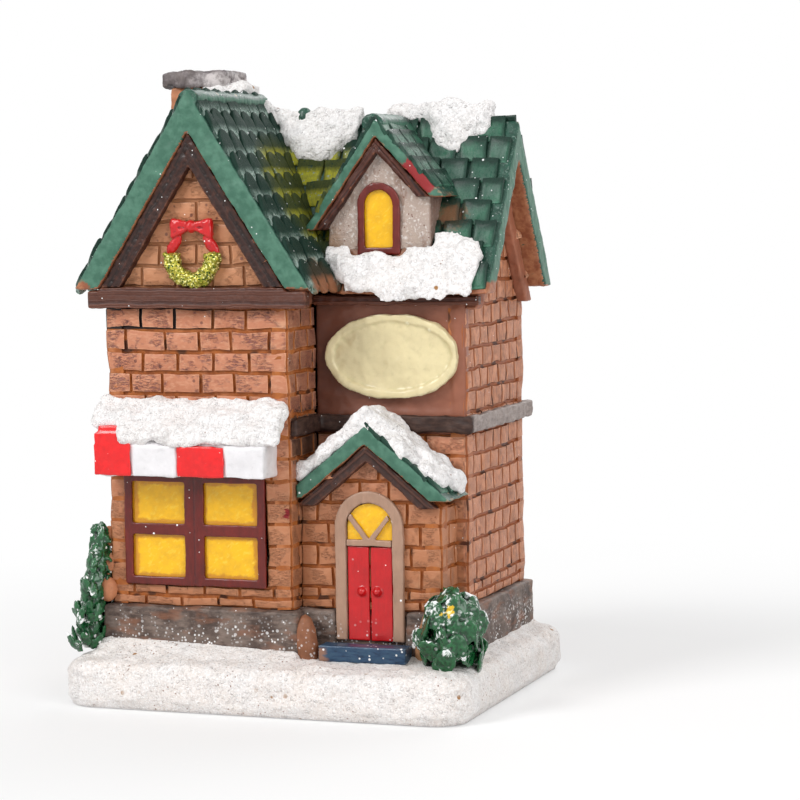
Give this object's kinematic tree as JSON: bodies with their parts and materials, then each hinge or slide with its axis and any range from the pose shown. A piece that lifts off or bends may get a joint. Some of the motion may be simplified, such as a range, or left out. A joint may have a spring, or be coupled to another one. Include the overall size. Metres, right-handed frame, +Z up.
{
  "type": "light-up village house",
  "caption": "Small snow-covered resin village house with a shop window, awning, porch and dormer, lit from inside by a battery light module in its base.",
  "frame": {"origin": "centre of the snow base's underside, on the surface the house stands on", "axes": "+X to the right and +Y to the back as seen from the front, +Z up"},
  "size_m": [0.0708, 0.0594, 0.105],
  "materials": {
    "snow_resin": "white cast resin with a grainy, glittering snow coat and fine brown specks",
    "stone_resin": "dark brown-grey painted resin, worn to pink-brown along its edges",
    "brick_resin": "terracotta painted resin with satin wear and purple-brown joints",
    "roof_resin": "glossy dark green painted resin, dry-brushed grey-green on the tiles",
    "stucco_resin": "whitish grainy painted resin with brown specks",
    "timber_resin": "dark brown satin painted resin with brushed grain",
    "window_frame_resin": "dark wine-red glossy painted resin",
    "window_film": "translucent yellow film with a brushed, mottled tone",
    "red_gloss_resin": "glossy red painted resin",
    "white_gloss_resin": "glossy white painted resin",
    "door_frame_resin": "taupe satin painted resin",
    "doorstep_resin": "dark blue glossy painted resin",
    "sign_resin": "blank cream glossy painted resin",
    "wreath_resin": "gold and green glitter over a lumpy ring",
    "leaf_resin": "glossy dark green painted leaves",
    "chimney_cap_resin": "grey satin painted resin",
    "black_plastic": "black moulded plastic with a fine spark texture",
    "switch_plastic": "white moulded plastic",
    "steel": "nickel-plated steel",
    "lamp_epoxy": "clear epoxy lens with a warm tint",
    "wire_sleeve": "black flexible sleeve"
  },
  "bodies": {
    "house": {"snow_base": "snow_resin", "stone_plinth": "stone_resin", "house_walls": "brick_resin", "wing_roof": "roof_resin", "main_roof": "roof_resin", "dormer_walls": "stucco_resin", "dormer_roof": "roof_resin", "dormer_bargeboard": "timber_resin", "dormer_window_frame": "window_frame_resin", "dormer_window_pane": "window_film", "porch_roof": "roof_resin", "porch_bargeboard": "timber_resin", "string_course": "stone_resin", "gable_bargeboard": "timber_resin", "gable_beam": "timber_resin", "eave_board": "timber_resin", "side_gable_board": "timber_resin", "chimney_stack": "brick_resin", "chimney_cap": "chimney_cap_resin", "chimney_snow": "snow_resin", "ridge_snow_left": "snow_resin", "ridge_snow_right": "snow_resin", "dormer_foot_snow": "snow_resin", "porch_snow": "snow_resin", "oval_sign": "sign_resin", "wreath": "wreath_resin", "wreath_bow": "red_gloss_resin", "awning": "white_gloss_resin", "awning_red_panel_middle": "red_gloss_resin", "awning_red_panel_left": "red_gloss_resin", "awning_snow": "snow_resin", "shop_window_frame": "window_frame_resin", "shop_pane_lower_left": "window_film", "shop_pane_lower_right": "window_film", "shop_pane_upper_left": "window_film", "shop_pane_upper_right": "window_film", "door_frame": "door_frame_resin", "left_door_leaf": "red_gloss_resin", "right_door_leaf": "red_gloss_resin", "fanlight_pane": "window_film", "fanlight_bars": "door_frame_resin", "doorstep": "doorstep_resin", "evergreen_tree": "leaf_resin", "holly_bush": "leaf_resin", "light_module_case": "black_plastic", "button_cell_1": "steel", "button_cell_2": "steel", "button_cell_3": "steel", "positive_contact": "steel", "battery_spring": "steel", "switch_body": "steel", "led_bulb": "lamp_epoxy", "led_negative_lead": "steel", "led_positive_lead": "steel", "battery_wire": "wire_sleeve"},
    "battery_door": {"battery_door": "black_plastic", "battery_door_screw": "steel"},
    "switch_knob": {"switch_knob": "switch_plastic"}
  },
  "joints": [
    {"name": "battery_door_hinge", "type": "hinge", "parent": "house", "child": "battery_door", "pos_m": [-0.01529, 0.0064, 0.0009], "axis": [0, 1, 0], "range_deg": [0, 85]},
    {"name": "switch_slide", "type": "slide", "parent": "house", "child": "switch_knob", "axis": [1, 0, 0], "range_m": [0, 0.002]}
  ]
}
